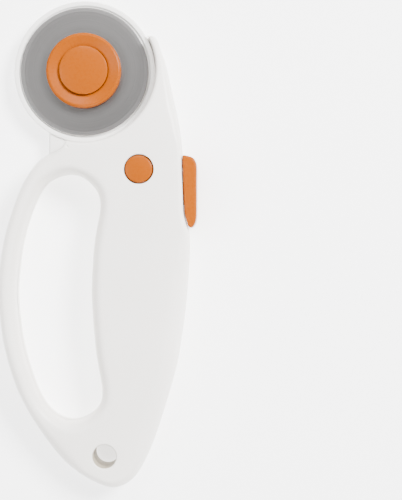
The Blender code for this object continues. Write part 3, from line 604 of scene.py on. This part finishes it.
def roll(points, table):
    """A value for each point of an outline: the nearest places' values, blended."""
    spots = np.array([(x, y) for x, y, _ in table], float)
    values = np.array([value for _, _, value in table], float)
    away = np.sqrt(((points[:, None, :] - spots[None, :, :]) ** 2).sum(2))
    weight = 1.0 / (away + 0.5) ** 4
    return (weight * values).sum(1) / weight.sum(1)


OUTER_WIDTH = [
    (26, 9, 1.4), (30, -4, 2.4), (32, -13, 3.0), (34, -22, 2.4), (34.3, -29, 1.5), (34.6, -38, 1.5),
    (35, -47, 1.5), (35.6, -53, 1.8), (37, -60, 4.0), (36, -74, 6.0), (34, -93, 6.5), (31, -108, 6.5),
    (27, -122, 6.0), (19, -141, 5.0), (9, -146, 4.5), (-7, -136, 4.5), (-19, -119, 4.0), (-27, -98, 3.1),
    (-29, -78, 3.1), (-26, -54, 3.1), (-19, -37, 3.2), (-13, -30, 2.6), (-9.5, -28.3, 3.0),
]
OUTER_DROP = [
    (26, 9, 2.0), (30, -4, 2.8), (32, -13, 3.0), (34, -22, 2.2), (34.3, -29, 1.6), (34.6, -38, 1.6),
    (35, -47, 1.6), (35.6, -53, 1.9), (37, -60, 4.0), (36, -74, 6.0), (34, -93, 6.4), (31, -108, 6.4),
    (27, -122, 5.4), (19, -141, 4.4), (9, -146, 4.0), (-7, -136, 4.0), (-19, -119, 4.6), (-27, -98, 4.8),
    (-29, -78, 4.8), (-26, -54, 4.8), (-19, -37, 4.2), (-13, -30, 4.2), (-9.5, -28.3, 5.4),
]
OPENING_WIDTH = [
    (-6, -36, 3.2), (4, -45, 4.2), (2, -70, 4.6), (3, -98, 4.6), (5, -112, 4.2), (-5, -121, 4.4),
    (-16, -112, 3.1), (-24, -80, 3.1), (-18, -46, 3.1),
]


def handle_lines():
    side = cubic(FIN_AND_SIDE, SPACING)
    opening = cubic(OPENING, SPACING, closed=True)[:-1]
    hole = circle(HOLE_RADIUS, HOLE_SPOT, 0.4)
    return side, opening, hole


def dimple(spot, radius, depth):
    """A small round dent in the front face, left by the moulding."""
    level = float(front_top(*spot))
    profile = [
        (0, level + 1), (radius + 0.3, level + 1), (radius, level - depth * 0.2, 0.2), (0, level - depth),
    ]
    return lathe("dimple", profile, spot, 32)


def skirt():
    """The short wall that closes the front shell towards the guard."""
    outer = RECESS_RADIUS + WALL
    low, high = SKIRT_BOTTOM, FRONT_SPLIT + 0.6
    inner = RECESS_RADIUS + 0.08
    profile = [(inner, high), (outer, high), (outer, low, 0.15), (inner, low, 0.15)]
    wall = lathe("skirt", profile, segments=240, ring=True)
    carve(wall, [
        box("left", (-FAR, -FAR, 0), (SKIRT_LEFT, FAR, ABOVE)),
        box("right", (SKIRT_RIGHT, -FAR, 0), (FAR, FAR, ABOVE)),
        box("top", (-FAR, SKIRT_TOP, 0), (FAR, FAR, ABOVE)),
    ])
    return wall


def paint_shade_in_hole(piece):
    """The hanging hole's wall gets painted shade: a warmer, darker white that stands in for the shadow inside
    the bore.
    """
    piece.data.materials.append(HOLE_PAINTED_SHADE)
    for face in piece.data.polygons:
        away = math.hypot(face.center.x / MM - HOLE_SPOT[0], face.center.y / MM - HOLE_SPOT[1])
        if away < HOLE_RADIUS + 0.1 and abs(face.normal.z) < 0.5:
            face.material_index = 1


def front_shell():
    side, opening, hole = handle_lines()
    shoulder = side[-1]
    corner = np.array(NECK_CORNER)
    start = math.degrees(math.atan2(corner[-1][1], corner[-1][0]))
    lip = arc(RECESS_RADIUS, start, FIN_TIP - 0.6)
    up_neck = resample(np.vstack([shoulder, corner]), SPACING)[1:]
    outer = join_lines(side, up_neck, lip[1:])
    outer = soften(outer, [tuple(corner[0]), tuple(corner[1]), tuple(shoulder)], 1.2, 6)
    outer = soften(outer, [tuple(side[0]), tuple(lip[-1])], 0.8, 3)
    width = roll(outer, OUTER_WIDTH)
    drop = roll(outer, OUTER_DROP)
    from_axis = np.hypot(outer[:, 0], outer[:, 1])
    on_lip = smoothstep(-from_axis, -RECESS_RADIUS - 1.2, -RECESS_RADIUS - 0.2)
    near_neck = smoothstep(-np.abs(outer[:, 0] + 6.4), -3.0, -0.5)
    neck = near_neck * smoothstep(outer[:, 1], -28.5, -27.0) * (1 - on_lip)
    width = width * (1 - on_lip) + 1.5 * on_lip
    drop = drop * (1 - on_lip) + 2.0 * on_lip
    width = width * (1 - neck) + 1.0 * neck
    drop = drop * (1 - neck) + 2.2 * neck
    button = circle(LOCK_RADIUS + GAP, LOCK_SPOT, 0.4)
    loops = [
        (outer, False, width, drop),
        (opening, True, roll(opening, OPENING_WIDTH), np.full(len(opening), 4.8)),
        (hole, True, np.full(len(hole), 0.7), np.full(len(hole), 0.7)),
        (button, True, np.full(len(button), 0.35), np.full(len(button), 0.35)),
    ]
    shell = pillow("front_shell", loops, FRONT_SPLIT, front_top, 1)
    roof = FACE - WALL
    slot_low = (BAY_RIGHT - 0.4, TONGUE_LOW - GAP, 0)
    slot_high = (FAR, TONGUE_HIGH + GAP + TRAVEL, TONGUE_SLOT_TOP)
    carve(shell, [dimple((-5.0, -27.1), 0.5, 0.5)])
    carve(shell, [
        box("bay_ear", (BAY_EAR_LEFT, BAY_BOTTOM, 0), (BAY_RIGHT, BAY_TOP, roof)),
        box("bay", (BAY_LEFT, BAY_BOTTOM, 0), (BAY_EAR_LEFT + 0.1, BAY_TOP - BAY_EAR_RISE, roof - 0.01)),
        column("flange_bay", LOCK_SPOT, LOCK_RADIUS + 1.5, 0, roof - 0.02),
        box("tongue_slot", slot_low, slot_high),
    ])
    carve(shell, [skirt()], "UNION")
    carve(shell, [bore(node, CASE_BORE, 0, SCREW_TIP + GAP) for node in SCREWS])
    piece = placed(shell, "handle", "white_plastic", WHITE, "handle_front_shell")
    paint_shade_in_hole(piece)
    return piece


def rear_shell():
    side, opening, hole = handle_lines()
    shoulder = side[-1]
    meet = math.degrees(math.atan2(-math.sqrt(PLATE_RADIUS ** 2 - TAB_LEFT ** 2), TAB_LEFT)) + 360
    head = arc(PLATE_RADIUS, meet, FIN_TIP + 1.5)
    neck = resample(np.vstack([shoulder, head[0]]), SPACING)[1:]
    outer = join_lines(side, neck, head[1:])
    outer = soften(outer, [tuple(shoulder), tuple(head[0]), tuple(side[0]), tuple(head[-1])], 1.0, 4)
    width = roll(outer, OUTER_WIDTH) * 0.75
    drop = roll(outer, OUTER_DROP) * 0.75
    from_axis = np.hypot(outer[:, 0], outer[:, 1])
    on_head = smoothstep(-from_axis, -PLATE_RADIUS - 3.0, -PLATE_RADIUS - 0.4) * (outer[:, 0] < 24.6)
    width = width * (1 - on_head) + 1.0 * on_head
    drop = drop * (1 - on_head) + 0.9 * on_head
    loops = [
        (outer, False, width, drop),
        (opening, True, roll(opening, OPENING_WIDTH) * 0.8, np.full(len(opening), 3.6)),
        (hole, True, np.full(len(hole), 0.7), np.full(len(hole), 0.7)),
    ]
    shell = pillow("rear_shell", loops, REAR_SPLIT, rear_top, -1, grid=3.0)
    high = REAR_SPLIT + 5
    tools = [
        column("recess", (0, 0), RECESS_RADIUS, WALL, high, 200),
        box("tab_pocket", (TAB_LEFT - 0.2, TAB_BOTTOM - GAP, WALL + 0.01), (0, -15, high)),
        box("arm_channel", (CHANNEL_LEFT, CHANNEL_BOTTOM, WALL + 0.02), (CHANNEL_RIGHT, CHANNEL_TOP, high)),
        box("bay_ear", (BAY_EAR_LEFT, BAY_BOTTOM, WALL + 0.03), (BAY_RIGHT, BAY_TOP, high)),
        box("bay", (BAY_LEFT, BAY_BOTTOM, WALL + 0.04), (BAY_EAR_LEFT + 0.1, BAY_TOP - BAY_EAR_RISE, high)),
        column("ear_pocket", centre("handle_screw_1"), 4.8, GUARD_FLOOR - GUARD_THICKNESS - GAP, high),
    ]
    carve(shell, tools)
    for node in SCREWS:
        carve(shell, [
            countersink(centre(node), CASE_HEAD_BORE, CASE_HEAD_DEPTH),
            bore(node, CASE_BORE, CASE_HEAD_DEPTH - 0.2, high),
        ])
    carve(shell, [
        countersink(centre("guard_screw"), SMALL_HEAD_BORE, SMALL_HEAD_DEPTH),
        bore("guard_screw", SMALL_BORE, SMALL_HEAD_DEPTH - 0.15, high),
    ])
    piece = placed(shell, "handle", "white_plastic", WHITE, "handle_rear_shell")
    paint_shade_in_hole(piece)
    return piece


def countersink(spot, radius, depth):
    """A cutter for the bore of a screw's head, with a small bevel at its mouth."""
    profile = [(0, depth), (radius, depth), (radius, 0.3), (radius + 0.8, -0.5), (0, -0.5)]
    return lathe("head_bore", profile, spot, 64)


front_shell()
rear_shell()


# ---------------------------------------------------------------- guard
def guard():
    floor = GUARD_FLOOR
    rim = floor + 0.7
    foot = GUARD_LOW.z
    under = floor - GUARD_THICKNESS
    inner = GUARD_RADIUS - 1.5
    profile = [
        (0, floor), (inner - 0.5, floor, 0.3), (inner, rim, 0.2), (GUARD_RADIUS, rim, 0.45),
        (GUARD_RADIUS, foot, 0.2), (inner, foot, 0.2), (inner, under, 0.2), (0, under),
    ]
    piece = lathe("guard_disc", profile, segments=240)
    carve(piece, [box("skirt_opening", (TAB_RIGHT, -40, 0), (40, -4, under))])
    tab = box("tab", (TAB_LEFT, TAB_BOTTOM, foot), (TAB_RIGHT, -18, floor - 0.02))
    bevel = tab.modifiers.new("round", "BEVEL")
    bevel.width = 0.9 * MM
    bevel.segments = 5
    carve(piece, [tab], "UNION")
    ear = centre("handle_screw_1")
    bridge = box("bridge", (20.5, -3.2, under + 0.02), (math.hypot(*ear), 3.2, floor - 0.03))
    bridge.data.transform(Matrix.Rotation(math.atan2(ear[1], ear[0]), 4, "Z"))
    carve(piece, [bridge, column("ear", ear, 4.4, under + 0.01, floor - 0.01)], "UNION")
    carve(piece, [column("ear_block", ear, 4.0, under + 0.2, FRONT_SPLIT - 0.35)], "UNION")
    carve(piece, [bore("handle_screw_1", CASE_BORE, 0, ABOVE)])
    carve(piece, [
        bore("guard_screw", SMALL_BORE, 0, floor - 0.6),
        column("slot_start", (0, 0), SLOT_HALF, 0, ABOVE),
        column("slot_end", (0, TRAVEL), SLOT_HALF, 0, ABOVE),
        box("slot", (-SLOT_HALF, 0, 0), (SLOT_HALF, TRAVEL, ABOVE)),
    ])
    return placed(piece, "handle", "white_plastic", GUARD_WHITE, "blade_guard")


guard()


# ---------------------------------------------------------------- blade and hub
def blade():
    middle = (BLADE_LOW.z + BLADE_HIGH.z) / 2
    edge = 0.02
    grind, tip, fall = 1.3, 0.16, 0.05
    hole = 4.0
    profile = [
        (hole, BLADE_HIGH.z), (BLADE_RADIUS - grind, BLADE_HIGH.z),
        (BLADE_RADIUS - tip, BLADE_HIGH.z - fall), (BLADE_RADIUS, middle + edge),
        (BLADE_RADIUS, middle - edge), (BLADE_RADIUS - tip, BLADE_LOW.z + fall),
        (BLADE_RADIUS - grind, BLADE_LOW.z), (hole, BLADE_LOW.z),
    ]
    piece = lathe("blade_disc", profile, segments=288, ring=True, sharp=4.0)
    placed(piece, "blade", "blade_steel", BLADE_STEEL, "blade")
    piece.data.materials.append(EDGE_STEEL)
    for face in piece.data.polygons:
        away = math.hypot(face.center.x, face.center.y) / MM
        if away > BLADE_RADIUS - grind:
            face.material_index = 1


def hub():
    outer = HUB_RADIUS
    well = CAP_RADIUS + 0.18
    top = HUB_HIGH.z
    bottom = HUB_LOW.z + 0.7
    profile = [
        (well, top - 1.05, 0.2), (outer - 0.85, top, 0.55), (outer, top - 0.5, 0.4),
        (outer, bottom + 0.5, 0.3), (outer - 0.7, bottom, 0.1), (3.7, bottom, 0.05),
        (3.7, HUB_LOW.z, 0.1), (2.3, HUB_LOW.z, 0.05), (2.3, bottom + 0.9), (well, bottom + 0.9),
    ]
    piece = lathe("hub_ring", profile, segments=200, ring=True)
    placed(piece, "hub", "orange_plastic", ORANGE, "hub_body")
    rim = CAP_RADIUS
    crown = CAP_HIGH.z
    dome = []
    steps = 14
    for step in range(steps + 1):
        share = step / steps
        dome.append((rim * 0.965 * share, crown - 0.55 * share ** 2))
    dome[-1] = (rim, crown - 0.62, 0.3)
    ceiling = CAP_LOW.z + 1.3
    inner = rim - 1.3
    profile = dome + [(rim, CAP_LOW.z, 0.1), (inner, CAP_LOW.z, 0.1), (inner, ceiling, 0.2), (0, ceiling)]
    piece = lathe("hub_cap", profile, segments=160)
    placed(piece, "hub_button", "orange_plastic", ORANGE, "hub_button")


def lock():
    top = LOCK_HIGH.z
    low = LOCK_LOW.z
    flange = FACE - WALL - GAP
    rim = LOCK_RADIUS - 0.1
    dome = []
    steps = 10
    for step in range(steps + 1):
        share = step / steps
        dome.append((rim * 0.93 * share, top - 0.35 * share ** 2))
    dome[-1] = (rim, top - 0.42, 0.35)
    wide = (LOCK_HIGH.x - LOCK_LOW.x) / 2
    profile = dome + [
        (rim, flange), (wide, flange, 0.2), (wide, flange - 1.2, 0.2), (2.0, flange - 1.2), (2.0, low, 0.4),
        (0, low),
    ]
    piece = lathe("lock_cap", profile, LOCK_SPOT, 128)
    placed(piece, "lock_button", "orange_plastic", ORANGE, "lock_button")


blade()
hub()
lock()


# ---------------------------------------------------------------- thumb slider
SLIDER_LINE = [
    (34.85, -29.9), (36.1, -30.0), (37.5, -30.35), (38.6, -31.0), (39.35, -32.2), (39.6, -34.0),
    (39.6, -38.5), (39.6, -44.0), (39.6, -49.2), (39.5, -51.6), (39.15, -53.3), (38.5, -54.45),
    (37.6, -55.05), (36.9, -54.7), (36.3, -53.4), (35.75, -51.5), (35.4, -49.0), (35.15, -45.0),
    (34.95, -40.0), (34.75, -35.0), (34.65, -31.0),
]


def thumb_half(name, line, middle, level, up):
    """The upper or lower half of the thumb piece, from its middle to a level face."""
    turned = np.full(len(line), THUMB_ROUND)
    loop = (line, False, turned, turned)
    return pillow(name, [loop], middle, lambda x, y: np.full(np.shape(x), level), up, 0.9, 0)


def slider():
    """The thumb piece in two halves that share the ring at mid height, and the tongue inside the case."""
    line = cubic(SLIDER_LINE, 0.35, closed=True)[:-1]
    middle = (REAR_SPLIT + FRONT_SPLIT) / 2
    half = (THUMB_HIGH.z - THUMB_LOW.z) / 2
    upper = thumb_half("thumb_upper", line, middle, middle + half, 1)
    lower = thumb_half("thumb_lower", line, middle, middle - half, -1)
    body = bmesh.new()
    body.from_mesh(upper.data)
    body.from_mesh(lower.data)
    level = middle * MM
    inside = [face for face in body.faces if all(abs(v.co.z - level) < 1e-7 for v in face.verts)]
    bmesh.ops.delete(body, geom=inside, context="FACES")
    bmesh.ops.remove_doubles(body, verts=body.verts, dist=0.000001)
    bmesh.ops.recalc_face_normals(body, faces=body.faces)
    body.to_mesh(upper.data)
    body.free()
    bpy.data.objects.remove(lower, do_unlink=True)
    upper.name = "thumb_piece"
    tongue_low = FRONT_SPLIT + 0.25
    root = (THUMB_LOW.x, TONGUE_LOW, tongue_low)
    end = (36.2, TONGUE_HIGH, tongue_low + TONGUE_THICKNESS)
    carve(upper, [box("tongue", root, end)], "UNION")
    carve(upper, [bore("slider_screw", SMALL_BORE, 0, ABOVE)])
    return placed(upper, "carriage", "orange_plastic", ORANGE, "thumb_slider")


slider()


# ---------------------------------------------------------------- screws
def screw(node, tall, upwards=True):
    """A pan-head screw with a cross recess; upwards means that the shank points up."""
    low, high = span(node)
    spot = centre(node)
    head = (high.x - low.x) / 2
    shank = head * 0.52
    sign = 1 if upwards else -1
    foot = low.z if upwards else high.z
    tip = high.z if upwards else low.z
    under = foot + sign * tall
    profile = [
        (0, tip), (shank * 0.5, tip, 0.2), (shank, tip - sign * 0.7, 0.1), (shank, under, 0.1),
        (head, under, 0.1), (head, foot + sign * 0.45, 0.35), (head * 0.66, foot, 0.5), (0, foot),
    ]
    piece = lathe(node + "_turned", profile, spot, 64)
    wide, reach = head * 0.13, head * 0.56
    bottom, top = sorted((foot - sign, foot + sign * tall * 0.62))
    for half_x, half_y in ((reach, wide), (wide * 0.99, reach * 0.99)):
        corner = (spot[0] - half_x, spot[1] - half_y, bottom)
        carve(piece, [box("cross", corner, (spot[0] + half_x, spot[1] + half_y, top))])
    return piece


for name in SCREWS:
    placed(screw(name, CASE_HEAD), "handle", "bright_steel", BRIGHT_STEEL, name)
placed(screw("guard_screw", GUARD_SCREW_HEAD), "handle", "bright_steel", BRIGHT_STEEL, "guard_screw")
slider_screw = screw("slider_screw", SLIDER_SCREW_HEAD, False)
placed(slider_screw, "carriage", "bright_steel", BRIGHT_STEEL, "slider_screw")


# ---------------------------------------------------------------- carried-over nodes
for node, finish in {
    "slide_carriage": GREY, "blade_axle": BRIGHT_STEEL, "axle_washer": BRIGHT_STEEL,
    "friction_washer": SPRING_STEEL, "hub_clip": SPRING_STEEL, "hub_button_spring": SPRING_STEEL,
    "detent_spring": SPRING_STEEL, "lock_spring": SPRING_STEEL,
}.items():
    mesh = NODES[node].data
    mesh.materials.clear()
    mesh.materials.append(finish)


# ---------------------------------------------------------------- floor, light and camera
HORIZON_LIGHT = 0.8
WALL_LIGHT = 0.45
CEILING_LIGHT = 0.38
FLOOR_GLOW = 2.0


def sky(world):
    """A studio sky: bright walls and a darker ceiling, where the camera hangs."""
    world.use_nodes = True
    tree = world.node_tree
    coordinates = tree.nodes.new("ShaderNodeTexCoord")
    apart = tree.nodes.new("ShaderNodeSeparateXYZ")
    tree.links.new(coordinates.outputs["Generated"], apart.inputs["Vector"])
    shades = tree.nodes.new("ShaderNodeValToRGB")
    stops = shades.color_ramp.elements
    stops[0].position, stops[0].color = 0.0, colour(*[HORIZON_LIGHT] * 3)
    stops[1].position, stops[1].color = 1.0, colour(*[CEILING_LIGHT] * 3)
    for position, light in ((0.06, HORIZON_LIGHT), (0.22, WALL_LIGHT), (0.8, WALL_LIGHT)):
        stop = stops.new(position)
        stop.color = colour(*[light] * 3)
    tree.links.new(apart.outputs["Z"], shades.inputs["Fac"])
    tree.links.new(shades.outputs["Color"], tree.nodes["Background"].inputs["Color"])


# Each lamp is (name, place in metres, size in metres, watts)
LAMPS = (
    ("key", (0.66, 0.40, 0.80), 0.36, 40.0), ("fill", (-0.65, -0.1, 0.85), 0.6, 8.0),
    ("low", (0.05, -0.85, 0.85), 0.6, 10.5), ("high", (0.0, 0.75, 0.9), 0.5, 11.0),
)


def stage():
    mesh = bpy.data.meshes.new("floor")
    reach = 3.0
    corners = [(-reach, -reach, 0), (reach, -reach, 0), (reach, reach, 0), (-reach, reach, 0)]
    mesh.from_pydata(corners, [], [(0, 1, 2, 3)])
    floor = bpy.data.objects.new("floor", mesh)
    floor.location.z = -0.0002
    bpy.context.scene.collection.objects.link(floor)
    paper, _, shader = principled("floor_paper", Roughness=0.9)
    shader.inputs["Base Color"].default_value = colour(0.95, 0.95, 0.95)
    shader.inputs["Emission Color"].default_value = colour(1.0, 1.0, 1.0)
    shader.inputs["Emission Strength"].default_value = FLOOR_GLOW
    mesh.materials.append(paper)
    world = bpy.data.worlds.new("studio")
    sky(world)
    bpy.context.scene.world = world
    for name, place, size, power in LAMPS:
        light = bpy.data.lights.new(name, "AREA")
        light.energy = power
        light.size = size
        lamp = bpy.data.objects.new(name, light)
        lamp.location = place
        towards = Vector((0.0, -0.06, 0.0)) - Vector(place)
        lamp.rotation_euler = towards.to_track_quat("-Z", "Y").to_euler()
        bpy.context.scene.collection.objects.link(lamp)


# The camera in millimetres: its height over the blade's face, its place and aim in plan, and the
# height of what the picture shows at the level of the blade's face
CAMERA_DISTANCE = 430.0
CAMERA_SPOT = (52.4, -60.6)
AIM_SPOT = (41.0, -62.8)
VIEW_HEIGHT = 175.6
SENSOR = 36.0


def camera():
    """A camera high above the part, looking almost straight down."""
    level = BLADE_HIGH.z
    place = Vector((*CAMERA_SPOT, level + CAMERA_DISTANCE)) * MM
    aim = Vector((*AIM_SPOT, level)) * MM
    lens = bpy.data.cameras.new("camera")
    lens.sensor_width = SENSOR
    lens.sensor_height = SENSOR
    lens.sensor_fit = "VERTICAL"
    lens.lens = SENSOR * CAMERA_DISTANCE / VIEW_HEIGHT
    lens.clip_start = 0.01
    back = (place - aim).normalized()
    right = Vector((0, 1, 0)).cross(back).normalized()
    up = back.cross(right)
    holder = bpy.data.objects.new("camera", lens)
    holder.matrix_world = Matrix.Translation(place) @ Matrix((right, up, back)).transposed().to_4x4()
    bpy.context.scene.collection.objects.link(holder)
    bpy.context.scene.camera = holder


stage()
camera()
